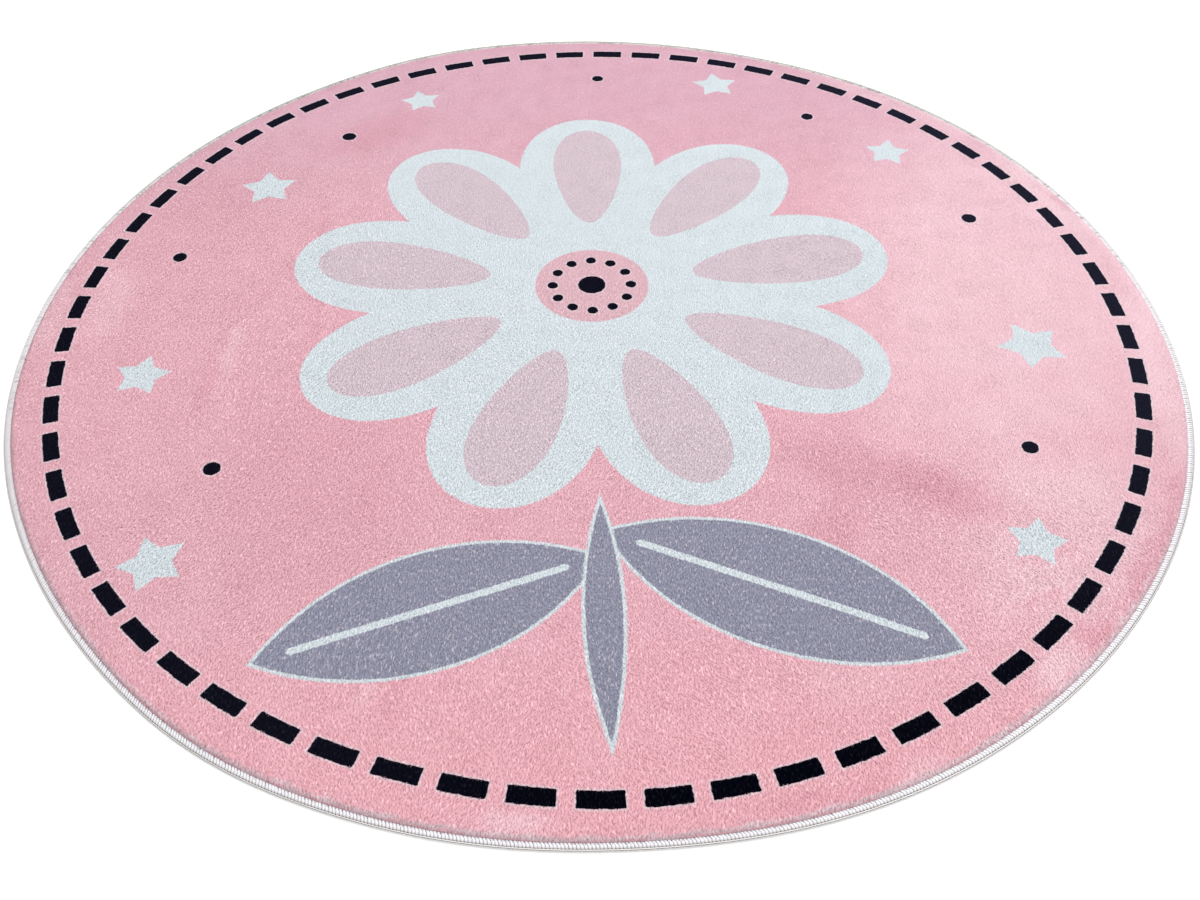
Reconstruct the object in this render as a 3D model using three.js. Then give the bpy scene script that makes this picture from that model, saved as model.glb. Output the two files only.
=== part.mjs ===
// A round kids' rug lying flat: one short-pile plush cloth, and a white yarn overlock sewn round
// its pressed rim. Millimetres, +Z up. The origin is on the floor under the middle of the rug.
import * as THREE from 'three';
import { mergeVertices } from 'three/addons/utils/BufferGeometryUtils.js';

// Driving dimensions
const RUG_DIAMETER = 1200; // over the sewn edge
const RUG_HEIGHT = 8; // backing and level pile together
const SEWN_HEIGHT = 5; // the overlock, from the floor to its top
const SEWN_WIDTH = 9; // how far the overlock reaches in from the rim
const SEWN_SHOWING = 6; // how much of that width the pile leaves in sight
const YARN_COVER = 1.2; // thickness of the yarn over, round and under the cloth
const CLEARANCE = 0.3; // between the yarn and the cloth
const PILE_ROUNDING = 11; // how far in from its edge the pile reaches its full height
const YARN_ROUNDING = 1.8; // how far in from the rim the yarn's round back reaches

// How the shape is divided
const STEPS_AROUND = 120;
const PILE_RINGS = 17;
const RING_SPACING = 34;
const ROUNDING_STEPS = 4;

// Where the rim strays from a true circle. `at` and `spread` are the middle and the half-width in
// degrees, anticlockwise from +X, and `rise` is in millimetres, outwards.
const RIM_SWELLS = [
  { name: 'back right dip', at: 68, spread: 19, rise: -4.2 },
  { name: 'back left swell', at: 110, spread: 13, rise: 6.0 },
  { name: 'left dip', at: 153, spread: 24, rise: -1.8 },
  { name: 'left swell', at: 194, spread: 12, rise: 1.8 },
  { name: 'front left swell', at: 238, spread: 11, rise: 4.0 },
  { name: 'front dip', at: 272, spread: 14, rise: -5.2 },
  { name: 'right swell', at: 339, spread: 20, rise: 4.0 },
];

// Soft ridges and troughs in the pile, each along a line with one bend. Points are [x, y],
// `spread` is the half-width, and `rise` is above or, where negative, below the level pile.
const FOLDS = [
  { name: 'long ridge', from: [50, -178], bend: [190, -186], to: [300, -242], spread: 26, rise: 1.4 },
  { name: 'long trough', from: [175, -232], bend: [240, -252], to: [335, -276], spread: 22, rise: -1.3 },
  { name: 'upper rim tuck', from: [362, -346], bend: [390, -333], to: [420, -323], spread: 11, rise: -1.1 },
  { name: 'lower rim tuck', from: [345, -388], bend: [375, -376], to: [408, -366], spread: 11, rise: -1.0 },
  { name: 'left trough', from: [-322, 146], bend: [-300, 60], to: [-272, -50], spread: 22, rise: -1.0 },
  { name: 'left ridge', from: [-384, -40], bend: [-390, -90], to: [-386, -145], spread: 20, rise: 0.9 },
  { name: 'back trough', from: [-196, 268], bend: [-165, 320], to: [-132, 372], spread: 18, rise: -0.8 },
  { name: 'left swell', from: [-240, 270], bend: [-310, 60], to: [-330, -130], spread: 90, rise: 0.7 },
  { name: 'right hollow', from: [350, 200], bend: [370, 60], to: [330, -60], spread: 100, rise: -0.6 },
  { name: 'front swell', from: [-210, -420], bend: [-60, -470], to: [120, -455], spread: 70, rise: 0.7 },
];

// Worked out from the driving dimensions
const RIM_RADIUS = RUG_DIAMETER / 2;
const SWELLS_FADE_IN = [0.6 * RIM_RADIUS, 0.95 * RIM_RADIUS];
const YARN_INNER_RADIUS = RIM_RADIUS - SEWN_WIDTH;
const YARN_WALL_RADIUS = RIM_RADIUS - YARN_COVER;
const CLOTH_STEP_RADIUS = YARN_INNER_RADIUS - CLEARANCE;
const CLOTH_EDGE_RADIUS = YARN_WALL_RADIUS - CLEARANCE;
const PRESSED_BOTTOM = YARN_COVER + CLEARANCE;
const PRESSED_TOP = SEWN_HEIGHT - YARN_COVER - CLEARANCE;
const PILE_EDGE_RADIUS = RIM_RADIUS - SEWN_SHOWING;
const PILE_LIP_HEIGHT = SEWN_HEIGHT + CLEARANCE;

// Half-section of the cloth, from the middle of its underside round the rim to the middle of its pile.
// Its pressed rim lies inside the yarn, and the pile leans out a little over the yarn.
function clothSection() {
  const point = (radius, height) => new THREE.Vector2(radius, height);
  const pileEdge = new THREE.EllipseCurve(
    PILE_EDGE_RADIUS - PILE_ROUNDING,
    PILE_LIP_HEIGHT,
    PILE_ROUNDING,
    RUG_HEIGHT - PILE_LIP_HEIGHT,
    0,
    Math.PI / 2,
  );
  const section = [
    point(0, 0),
    point(CLOTH_STEP_RADIUS, 0),
    point(CLOTH_STEP_RADIUS, PRESSED_BOTTOM),
    point(CLOTH_EDGE_RADIUS, PRESSED_BOTTOM),
    point(CLOTH_EDGE_RADIUS, PRESSED_TOP),
    point(CLOTH_STEP_RADIUS, PRESSED_TOP),
    point(CLOTH_STEP_RADIUS, PILE_LIP_HEIGHT),
    ...pileEdge.getPoints(ROUNDING_STEPS),
  ];
  for (let ring = PILE_RINGS; ring >= 0; ring -= 1) {
    section.push(point(ring * RING_SPACING, RUG_HEIGHT));
  }
  return section;
}

// Half-section of the yarn: a flattened U with a round back, open towards the middle of the rug
function yarnSection() {
  const point = (radius, height) => new THREE.Vector2(radius, height);
  const back = new THREE.EllipseCurve(
    RIM_RADIUS - YARN_ROUNDING,
    SEWN_HEIGHT / 2,
    YARN_ROUNDING,
    SEWN_HEIGHT / 2,
    -Math.PI / 2,
    Math.PI / 2,
  );
  return [
    point(YARN_INNER_RADIUS, 0),
    ...back.getPoints(ROUNDING_STEPS),
    point(YARN_INNER_RADIUS, SEWN_HEIGHT),
    point(YARN_INNER_RADIUS, SEWN_HEIGHT - YARN_COVER),
    point(YARN_WALL_RADIUS, SEWN_HEIGHT - YARN_COVER),
    point(YARN_WALL_RADIUS, YARN_COVER),
    point(YARN_INNER_RADIUS, YARN_COVER),
    point(YARN_INNER_RADIUS, 0),
  ];
}

// How far the rim lies outside its true circle at an angle in radians
function rimSwell(angle) {
  let rise = 0;
  for (const swell of RIM_SWELLS) {
    const turn = THREE.MathUtils.euclideanModulo(THREE.MathUtils.radToDeg(angle) - swell.at + 180, 360);
    rise += swell.rise * Math.exp(-(((turn - 180) / swell.spread) ** 2));
  }
  return rise;
}

// Distance from a point to the straight line between two others
function distanceToLine(point, start, end) {
  const line = new THREE.Line3(new THREE.Vector3(...start, 0), new THREE.Vector3(...end, 0));
  return line.closestPointToPoint(point, true, new THREE.Vector3()).distanceTo(point);
}

// How far the folds lift the pile at a place on the rug
function foldRise(x, y) {
  const point = new THREE.Vector3(x, y, 0);
  let rise = 0;
  for (const fold of FOLDS) {
    const first = distanceToLine(point, fold.from, fold.bend);
    const second = distanceToLine(point, fold.bend, fold.to);
    rise += fold.rise * Math.exp(-((Math.min(first, second) / fold.spread) ** 2));
  }
  return rise;
}

// Turns a half-section into a closed solid: the seam is welded, and the triangles that a point on
// the axis leaves without area are dropped.
function spun(section) {
  const lathe = new THREE.LatheGeometry(section, STEPS_AROUND).rotateX(Math.PI / 2);
  lathe.deleteAttribute('normal');
  lathe.deleteAttribute('uv');
  const solid = mergeVertices(lathe);
  const corners = solid.index.array;
  const kept = [];
  for (let i = 0; i < corners.length; i += 3) {
    const [a, b, c] = corners.slice(i, i + 3);
    if (a !== b && b !== c && c !== a) {
      kept.push(a, b, c);
    }
  }
  solid.setIndex(kept);
  return solid;
}

// Bends a true round solid to the uneven rim, and lifts its level pile over the folds
function madeUneven(solid) {
  const position = solid.attributes.position;
  for (let i = 0; i < position.count; i += 1) {
    const x = position.getX(i);
    const y = position.getY(i);
    const z = position.getZ(i);
    const radius = Math.hypot(x, y);
    const share = THREE.MathUtils.smoothstep(radius, ...SWELLS_FADE_IN);
    const stretch = 1 + (share * rimSwell(Math.atan2(y, x))) / RIM_RADIUS;
    const lift = THREE.MathUtils.smoothstep(z, PILE_LIP_HEIGHT, RUG_HEIGHT) * foldRise(x, y);
    position.setXYZ(i, x * stretch, y * stretch, z + lift);
  }
  solid.computeVertexNormals();
  return solid;
}

// The middle of the box that the uneven rim fills
function rimMiddle() {
  const box = new THREE.Box2();
  for (let step = 0; step < STEPS_AROUND; step += 1) {
    const angle = (step / STEPS_AROUND) * 2 * Math.PI;
    const radius = RIM_RADIUS + rimSwell(angle);
    box.expandByPoint(new THREE.Vector2(radius * Math.cos(angle), radius * Math.sin(angle)));
  }
  return box.getCenter(new THREE.Vector2());
}

function pileRug() {
  const plush = new THREE.MeshStandardMaterial({ color: 0xe8b6c2, roughness: 0.95, metalness: 0 });
  const mesh = new THREE.Mesh(madeUneven(spun(clothSection())), plush);
  mesh.name = 'pile_rug';
  return mesh;
}

function edgeBinding() {
  const yarn = new THREE.MeshStandardMaterial({ color: 0xece9ea, roughness: 0.8, metalness: 0 });
  const mesh = new THREE.Mesh(madeUneven(spun(yarnSection())), yarn);
  mesh.name = 'edge_binding';
  return mesh;
}

const rug = new THREE.Group();
rug.add(pileRug(), edgeBinding());
const middle = rimMiddle();
rug.position.set(-middle.x, -middle.y, 0);

export default rug;
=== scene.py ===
"""A round kids' rug: printed short-pile plush with a white overlocked rim, on a pale floor.

Every size is in metres unless its name ends in _mm or _deg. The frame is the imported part's.
"""

import logging
import math
from dataclasses import dataclass, field
from enum import Enum

import bmesh
import bpy
import numpy as np
from mathutils import Euler, Matrix, Vector


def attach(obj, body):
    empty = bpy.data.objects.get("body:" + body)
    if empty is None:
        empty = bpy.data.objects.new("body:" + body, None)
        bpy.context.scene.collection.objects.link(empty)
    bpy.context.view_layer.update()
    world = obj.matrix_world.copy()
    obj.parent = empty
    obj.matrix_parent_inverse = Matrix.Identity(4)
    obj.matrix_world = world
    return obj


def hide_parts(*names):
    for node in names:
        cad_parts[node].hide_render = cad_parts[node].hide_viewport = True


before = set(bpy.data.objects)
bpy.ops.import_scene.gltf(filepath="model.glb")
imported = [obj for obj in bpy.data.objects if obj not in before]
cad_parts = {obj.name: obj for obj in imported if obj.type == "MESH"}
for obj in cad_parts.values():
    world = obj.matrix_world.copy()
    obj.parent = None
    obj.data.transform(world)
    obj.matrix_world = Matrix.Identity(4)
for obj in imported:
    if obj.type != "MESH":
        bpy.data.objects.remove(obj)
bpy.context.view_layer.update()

LOG = logging.getLogger("rug")
MM = 0.001
BODY = "root"
Pair = tuple[float, float]
BAKE_MAP = "OFBake"
STITCH_MAP = "stitch"
TINY = 1e-9

# The nap stands loose at the front left and lies flat at the back right
LOOSE_SIDEWAYS = 0.7
LOOSE_FADE = (-0.20, 0.12)
# How far round a part of the rim faces the front, from the sides to the front itself
FRONT_FADE = (0.20, 0.85)


def srgb(red: float, green: float, blue: float) -> tuple[float, float, float, float]:
    """Turns a screen colour into the linear one that a shader takes.

    Args:
        red: Red from 0 to 255.
        green: Green from 0 to 255.
        blue: Blue from 0 to 255.

    Returns:
        Linear red, green, blue and full alpha.
    """
    parts = [c / 255 for c in (red, green, blue)]
    linear = [c / 12.92 if c <= 0.04045 else ((c + 0.055) / 1.055) ** 2.4 for c in parts]
    return (*linear, 1.0)


class Wire:
    """A socket of a node tree that plain arithmetic can build on."""

    def __init__(self, tree: bpy.types.NodeTree, socket: bpy.types.NodeSocket) -> None:
        """Holds a socket and the tree it is in."""
        self.tree = tree
        self.socket = socket

    def _math(self, operation: str, *others: "Wire | float") -> "Wire":
        """Adds a Math node on this wire.

        Args:
            operation: The Math node's operation.
            others: The node's further inputs.

        Returns:
            The node's result.
        """
        node = self.tree.nodes.new("ShaderNodeMath")
        node.operation = operation
        plug(self.tree, node.inputs[0], self)
        for socket, value in zip(node.inputs[1:], others):
            plug(self.tree, socket, value)
        return Wire(self.tree, node.outputs[0])

    def __add__(self, other: "Wire | float") -> "Wire":
        """Sum."""
        return self._math("ADD", other)

    def __sub__(self, other: "Wire | float") -> "Wire":
        """Difference."""
        return self._math("SUBTRACT", other)

    def __mul__(self, other: "Wire | float") -> "Wire":
        """Product."""
        return self._math("MULTIPLY", other)

    def __truediv__(self, other: "Wire | float") -> "Wire":
        """Quotient."""
        return self._math("DIVIDE", other)

    def __abs__(self) -> "Wire":
        """Size without sign."""
        return self._math("ABSOLUTE")

    def at_least(self, other: "Wire | float") -> "Wire":
        """The larger of two."""
        return self._math("MAXIMUM", other)

    def at_most(self, other: "Wire | float") -> "Wire":
        """The smaller of two."""
        return self._math("MINIMUM", other)

    def root(self) -> "Wire":
        """Square root."""
        return self._math("SQRT")

    def sine(self) -> "Wire":
        """Sine of an angle in radians."""
        return self._math("SINE")

    def cosine(self) -> "Wire":
        """Cosine of an angle in radians."""
        return self._math("COSINE")

    def angle_from(self, x: "Wire") -> "Wire":
        """The angle whose rise is this wire and whose run is x."""
        return self._math("ARCTAN2", x)

    def between(self, low: float, high: float) -> "Wire":
        """Spreads a value from 0 to 1 over a range that may run down."""
        return self * (high - low) + low

    def wrapped(self, low: float, high: float) -> "Wire":
        """The value wrapped into a range."""
        return self._math("WRAP", high, low)

    def fade(self, start: float, end: float) -> "Wire":
        """Smooth step, 0 at start and 1 at end.

        Args:
            start: The value that gives 0.
            end: The value that gives 1, which may be the smaller one.

        Returns:
            The step as a mask.
        """
        node = self.tree.nodes.new("ShaderNodeMapRange")
        node.interpolation_type = "SMOOTHSTEP"
        low, high = min(start, end), max(start, end)
        plug(self.tree, node.inputs["Value"], self)
        node.inputs["From Min"].default_value = low
        node.inputs["From Max"].default_value = high
        node.inputs["To Min"].default_value = 0.0 if start < end else 1.0
        node.inputs["To Max"].default_value = 1.0 if start < end else 0.0
        return Wire(self.tree, node.outputs["Result"])


def plug(tree: bpy.types.NodeTree, socket: bpy.types.NodeSocket, value: object) -> None:
    """Links a wire to a socket, or sets the socket's own value.

    Args:
        tree: The node tree.
        socket: The input.
        value: A Wire, a number, a vector or a colour.
    """
    if isinstance(value, Wire):
        tree.links.new(value.socket, socket)
    elif value is not None:
        socket.default_value = value


class Painter:
    """Adds the nodes of one tree, each in one call."""

    NOISE_PITCH = 0.6  # the size of a noise's lumps at scale 1

    def __init__(self, tree: bpy.types.NodeTree) -> None:
        """Holds the tree."""
        self.tree = tree

    def node(
        self,
        kind: str,
        output: str | int = 0,
        settings: dict[str, object] | None = None,
        **inputs: object,
    ) -> Wire:
        """Adds a node and fills its inputs.

        Args:
            kind: The node's type.
            output: The output to hand back.
            settings: The node's own settings by name.
            inputs: Values by socket name, with _ for a blank.

        Returns:
            The output as a wire.
        """
        node = self.tree.nodes.new(kind)
        for name, value in (settings or {}).items():
            setattr(node, name, value)
        for name, value in inputs.items():
            plug(self.tree, node.inputs[name.replace("_", " ")], value)
        return Wire(self.tree, node.outputs[output])

    def parts(self, vector: Wire) -> tuple[Wire, Wire, Wire]:
        """Splits a vector.

        Args:
            vector: The vector.

        Returns:
            Its X, Y and Z.
        """
        node = self.tree.nodes.new("ShaderNodeSeparateXYZ")
        plug(self.tree, node.inputs[0], vector)
        return tuple(Wire(self.tree, out) for out in node.outputs)

    def vector(self, x: "Wire | float", y: "Wire | float", z: "Wire | float" = 0.0) -> Wire:
        """Joins three values to a vector."""
        return self.node("ShaderNodeCombineXYZ", X=x, Y=y, Z=z)

    def vector_math(self, operation: str, *values: object) -> Wire:
        """Adds a Vector Math node.

        Args:
            operation: Its operation.
            values: Its inputs in order.

        Returns:
            Its result.
        """
        node = self.tree.nodes.new("ShaderNodeVectorMath")
        node.operation = operation
        for socket, value in zip(node.inputs, values):
            plug(self.tree, socket, value)
        return Wire(self.tree, node.outputs[0])

    def scaled(self, vector: Wire, share: Wire) -> Wire:
        """Multiplies a vector or a colour by one number."""
        return self.vector_math("MULTIPLY", vector, self.vector(share, share, share))

    def place(self) -> Wire:
        """The place on the piece, in the part's frame."""
        return self.node("ShaderNodeTexCoord", "Object")

    def attribute(self, name: str, output: str = "Fac") -> Wire:
        """A value that the mesh carries."""
        return self.node("ShaderNodeAttribute", output, {"attribute_name": name})

    def noise(self, place: Wire, size: float, detail: float = 2.0, output: int = 0) -> Wire:
        """Adds a noise with lumps of a size: output 0 is its value and 1 its colour."""
        scale = self.NOISE_PITCH / size
        return self.node("ShaderNodeTexNoise", output, Vector=place, Scale=scale, Detail=detail)

    def mixed(self, share: "Wire | float", first: object, second: object) -> Wire:
        """Adds a colour mix.

        Args:
            share: How much of the second colour shows.
            first: The first colour.
            second: The second colour.

        Returns:
            The mixed colour.
        """
        node = self.tree.nodes.new("ShaderNodeMix")
        node.data_type = "RGBA"
        # A Mix node also has sockets for numbers and vectors: these are the ones for colours
        for socket, value in zip((node.inputs[0], *node.inputs[6:8]), (share, first, second)):
            plug(self.tree, socket, value)
        return Wire(self.tree, node.outputs[2])

    def relief(self, height: Wire, strength: float, distance: float) -> Wire:
        """The normal of a surface with low relief on it."""
        return self.node("ShaderNodeBump", Strength=strength, Distance=distance, Height=height)

    def surface(self, colour: Wire, normal: Wire, roughness: float, specular: float) -> None:
        """Adds a Principled surface and ends the material with it.

        Args:
            colour: Its colour.
            normal: Its normal.
            roughness: Its roughness.
            specular: Its specular level.
        """
        shader = self.tree.nodes.new("ShaderNodeBsdfPrincipled")
        plug(self.tree, shader.inputs["Base Color"], colour)
        plug(self.tree, shader.inputs["Normal"], normal)
        shader.inputs["Roughness"].default_value = roughness
        shader.inputs["Specular IOR Level"].default_value = specular
        out = self.tree.nodes.new("ShaderNodeOutputMaterial")
        self.tree.links.new(shader.outputs[0], out.inputs["Surface"])


def new_material(name: str) -> tuple[bpy.types.Material, Painter]:
    """Makes an empty material.

    Args:
        name: Its name.

    Returns:
        The material, and the painter of its nodes.
    """
    made = bpy.data.materials.new(name)
    made.use_nodes = True
    made.node_tree.nodes.clear()
    return made, Painter(made.node_tree)


def shader_group(name: str, inputs: dict[str, str], outputs: dict[str, str]) -> bpy.types.NodeTree:
    """Makes an empty shader node group.

    Args:
        name: The group's name.
        inputs: Socket type by input name.
        outputs: Socket type by output name.

    Returns:
        The group, with its input and output nodes.
    """
    tree = bpy.data.node_groups.new(name, "ShaderNodeTree")
    for socket, kind in inputs.items():
        tree.interface.new_socket(socket, in_out="INPUT", socket_type=kind)
    for socket, kind in outputs.items():
        tree.interface.new_socket(socket, in_out="OUTPUT", socket_type=kind)
    tree.nodes.new("NodeGroupInput")
    tree.nodes.new("NodeGroupOutput")
    return tree


def group_ends(tree: bpy.types.NodeTree) -> tuple[bpy.types.Node, bpy.types.Node]:
    """The input and output nodes of a group."""
    return tree.nodes["Group Input"], tree.nodes["Group Output"]


@dataclass(frozen=True)
class RimSwell:
    """One place where the rim strays from its true circle."""

    at_deg: float
    spread_deg: float
    rise_mm: float


@dataclass(frozen=True)
class Fold:
    """One soft ridge or trough of the pile, along a line with one bend."""

    start_mm: Pair
    bend_mm: Pair
    end_mm: Pair
    spread_mm: float
    rise_mm: float


@dataclass
class RugForm:
    """The sizes of the rug, and the uneven shape that all its pieces share."""

    radius: float = 0.6
    height: float = 0.008
    sewn_height: float = 0.005
    sewn_width: float = 0.009
    sewn_showing: float = 0.006
    yarn_cover: float = 0.0012
    clearance: float = 0.0003
    pile_rounding: float = 0.011
    tuft_room: float = 0.0007
    edge_inset: Pair = (0.0020, 0.0030)
    inset_width: float = 0.02
    fade_in: Pair = (0.36, 0.57)
    swells: tuple[RimSwell, ...] = (
        RimSwell(68, 19, -4.2),
        RimSwell(110, 13, 6.0),
        RimSwell(153, 24, -1.8),
        RimSwell(194, 12, 1.8),
        RimSwell(238, 11, 4.0),
        RimSwell(272, 14, -5.2),
        RimSwell(339, 20, 4.0),
    )
    folds: tuple[Fold, ...] = (
        Fold((50, -178), (190, -186), (300, -242), 26, 1.4),
        Fold((175, -232), (240, -252), (335, -276), 22, -1.3),
        Fold((362, -346), (390, -333), (420, -323), 11, -1.1),
        Fold((345, -388), (375, -376), (408, -366), 11, -1.0),
        Fold((-322, 146), (-300, 60), (-272, -50), 22, -1.0),
        Fold((-384, -40), (-390, -90), (-386, -145), 20, 0.9),
        Fold((-196, 268), (-165, 320), (-132, 372), 18, -0.8),
        Fold((-240, 270), (-310, 60), (-330, -130), 90, 0.7),
        Fold((350, 200), (370, 60), (330, -60), 100, -0.6),
        Fold((-210, -420), (-60, -470), (120, -455), 70, 0.7),
    )
    steps_around: int = 120
    middle: Pair = field(init=False)

    def __post_init__(self) -> None:
        """Finds the middle of the box that the uneven rim fills."""
        angle = np.arange(self.steps_around) / self.steps_around * 2 * np.pi
        radius = self.radius + self.swell(angle)
        x, y = radius * np.cos(angle), radius * np.sin(angle)
        self.middle = ((x.min() + x.max()) / 2, (y.min() + y.max()) / 2)

    @property
    def pile_edge(self) -> float:
        """Radius of the pile's edge."""
        return self.radius - self.sewn_showing

    @property
    def lip_height(self) -> float:
        """Height at which the pile leans out over the yarn."""
        return self.sewn_height + self.clearance

    @property
    def ground(self) -> float:
        """Height of the closed ground that the tufts stand on."""
        return self.height - self.tuft_room

    def swell(self, angle: np.ndarray) -> np.ndarray:
        """How far the rim lies outside its true circle.

        Args:
            angle: Angles in radians.

        Returns:
            The rise at each angle.
        """
        rise = np.zeros_like(angle)
        for swell in self.swells:
            turn = (np.degrees(angle) - swell.at_deg + 180) % 360 - 180
            rise += swell.rise_mm * MM * np.exp(-((turn / swell.spread_deg) ** 2))
        return rise

    def fold_rise(self, x: np.ndarray, y: np.ndarray) -> np.ndarray:
        """How far the folds lift the pile.

        Args:
            x: Places across the rug, from the true circle's centre.
            y: Places along it.

        Returns:
            The lift at each place.
        """
        rise = np.zeros_like(x)
        for fold in self.folds:
            corners = [np.array(p) * MM for p in (fold.start_mm, fold.bend_mm, fold.end_mm)]
            near = np.minimum(
                distance_to_line(x, y, *corners[:2]), distance_to_line(x, y, *corners[1:])
            )
            rise += fold.rise_mm * MM * np.exp(-((near / (fold.spread_mm * MM)) ** 2))
        return rise

    def bend(self, points: np.ndarray) -> np.ndarray:
        """Moves points of a true round rug to the uneven one, its pile drawn in most at the back.

        Args:
            points: Places as rows of X, Y and Z, round the true centre.

        Returns:
            The places in the part's frame.
        """
        x, y, z = points.T
        far, angle = np.hypot(x, y), np.arctan2(y, x)
        share = smooth_step(far, *self.fade_in)
        stretch = 1 + share * self.swell(angle) / self.radius
        usual, swing = self.edge_inset
        drawn_in = usual + swing * np.sin(angle)
        drawn_in *= smooth_step(far, self.pile_edge - self.inset_width, self.pile_edge)
        stretch = stretch - np.where(z > self.sewn_height, drawn_in, 0) / self.radius
        lift = smooth_step(z, self.lip_height, self.ground) * self.fold_rise(x, y)
        placed = np.stack([x * stretch, y * stretch, z + lift], 1)
        placed[:, 0] -= self.middle[0]
        placed[:, 1] -= self.middle[1]
        return placed


def smooth_step(value: np.ndarray, low: float, high: float) -> np.ndarray:
    """Smooth step of an array, 0 up to low and 1 from high."""
    share = np.clip((value - low) / (high - low), 0, 1)
    return share * share * (3 - 2 * share)


def distance_to_line(
    x: np.ndarray, y: np.ndarray, start: np.ndarray, end: np.ndarray
) -> np.ndarray:
    """Distance of places from a straight line.

    Args:
        x: Places across.
        y: Places along.
        start: One end of the line.
        end: Its other end.

    Returns:
        The distances.
    """
    along = end - start
    share = ((x - start[0]) * along[0] + (y - start[1]) * along[1]) / (along @ along)
    share = np.clip(share, 0, 1)
    return np.hypot(x - start[0] - share * along[0], y - start[1] - share * along[1])


class Lumps:
    """Smooth seeded unevenness over the rug, made from waves."""

    PITCH_SPREAD = (0.6, 1.7)
    HEIGHT = 0.8  # brings the sum of the waves to about 1

    def __init__(self, size: float, seed: int, waves: int = 24) -> None:
        """Draws the waves.

        Args:
            size: The usual distance from one rise to the next.
            seed: Its own seed.
            waves: How many waves are added.
        """
        draw = np.random.default_rng(seed)
        turn = draw.uniform(0, 2 * np.pi, waves)
        pitch = 2 * np.pi / (size * draw.uniform(*self.PITCH_SPREAD, waves))
        self.wave = np.stack([pitch * np.cos(turn), pitch * np.sin(turn)])
        self.start = draw.uniform(0, 2 * np.pi, waves)

    def at(self, x: np.ndarray, y: np.ndarray) -> np.ndarray:
        """The unevenness at places, mostly from -1 to 1."""
        phase = x[:, None] * self.wave[0] + y[:, None] * self.wave[1] + self.start
        return np.cos(phase).sum(1) / math.sqrt(len(self.start)) * self.HEIGHT


@dataclass(frozen=True)
class PrintColours:
    """The inks and bare fibre of the printed pile."""

    pink: tuple = srgb(232, 178, 190)
    pink_deep: tuple = srgb(212, 140, 156)
    pink_light: tuple = srgb(250, 218, 226)
    pink_cool: tuple = srgb(211, 172, 191)
    pink_warm: tuple = srgb(244, 180, 190)
    white: tuple = srgb(216, 226, 231)
    petal_pink: tuple = srgb(214, 196, 205)
    blush: tuple = srgb(224, 182, 192)
    grey: tuple = srgb(148, 149, 168)
    navy: tuple = srgb(4, 6, 16)
    # The dark ink where painted sheen lightens it
    navy_sheen: tuple = srgb(32, 32, 47)
    fleck: tuple = srgb(250, 230, 234)
    bare: tuple = srgb(228, 212, 219)


@dataclass(frozen=True)
class DashRing:
    """The printed ring of dashes."""

    count: int = 67
    phase_deg: float = 0.305
    radius: float = 0.557
    width: float = 0.0151
    length: float = 0.0379
    corner: float = 0.0014


@dataclass(frozen=True)
class ToneMark:
    """A soft oval of the pile's tone, lighter above 0 and deeper below: a brushed patch of the
    nap, painted light or shade over one side of the rug, or painted shade or light beside a
    crease.
    """

    x_mm: float
    y_mm: float
    half_length_mm: float
    half_width_mm: float
    turn_deg: float
    tone: float


@dataclass(frozen=True)
class Egg:
    """An egg on a petal's middle line, by its distance from the flower's middle."""

    middle: float
    half_length: float
    half_width: float


@dataclass(frozen=True)
class Flower:
    """The large flower in the middle, seen from above."""

    x: float = 0.0
    y: float = 0.050
    petals: int = 9
    petal: Egg = Egg(0.186, 0.150, 0.080)
    inner: Egg = Egg(0.212, 0.098, 0.040)
    widening: float = 0.28
    heart_radius: float = 0.062
    seed_ring: float = 0.043
    seeds: int = 12
    seed_radius: float = 0.0058
    middle_seed: float = 0.015


@dataclass(frozen=True)
class Leaf:
    """A pointed leaf of the flower."""

    x: float
    y: float
    turn_deg: float
    half_length: float
    half_width: float


@dataclass(frozen=True)
class Spark:
    """A small star or dot of the print."""

    x: float
    y: float
    size: float
    turn_deg: float = 0.0


@dataclass(frozen=True)
class PrintLayout:
    """Where each motif of the print lies, from the middle of the dashed ring.

    A pair of numbers is a fade across an outline: how far outside it the ink begins, and where it
    covers. Those of the petals, heart and stars are shares of their size.
    """

    leaf_outline: Pair = (0.0042, 0.0022)
    leaf_ink: Pair = (0.0006, -0.0006)
    vein_ink: Pair = (0.0042, 0.0030)
    vein_share: float = 0.8
    least_veined: float = 0.03
    petal_ink: Pair = (0.006, -0.006)
    heart_ink: Pair = (0.012, -0.012)
    star_slant: float = 1.05
    star_ink: Pair = (0.02, -0.02)
    halo: Pair = (0.0024, 0.0010)
    halo_share: float = 0.60
    dark_ink: Pair = (0.0003, -0.0004)
    ring: DashRing = DashRing()
    flower: Flower = Flower()
    leaves: tuple[Leaf, ...] = (
        Leaf(-0.146, -0.380, 200, 0.152, 0.060),
        Leaf(0.150, -0.364, -24, 0.160, 0.062),
        Leaf(0.000, -0.388, 90, 0.122, 0.016),
    )
    stars: tuple[Spark, ...] = (
        Spark(-0.385, 0.245, 0.034, 8),
        Spark(0.372, 0.300, 0.028, -12),
        Spark(0.452, -0.060, 0.036, 20),
        Spark(-0.462, -0.085, 0.030, -6),
        Spark(-0.215, 0.440, 0.026, 14),
        Spark(0.175, 0.468, 0.030, 3),
        Spark(-0.395, -0.325, 0.032, 25),
        Spark(0.385, -0.318, 0.028, -18),
    )
    dots: tuple[Spark, ...] = (
        Spark(-0.300, 0.355, 0.0085),
        Spark(0.285, 0.385, 0.0075),
        Spark(0.440, 0.160, 0.0085),
        Spark(-0.465, 0.110, 0.0080),
        Spark(0.410, -0.205, 0.0080),
        Spark(-0.365, -0.215, 0.0085),
        Spark(0.020, 0.490, 0.0075),
    )


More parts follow.
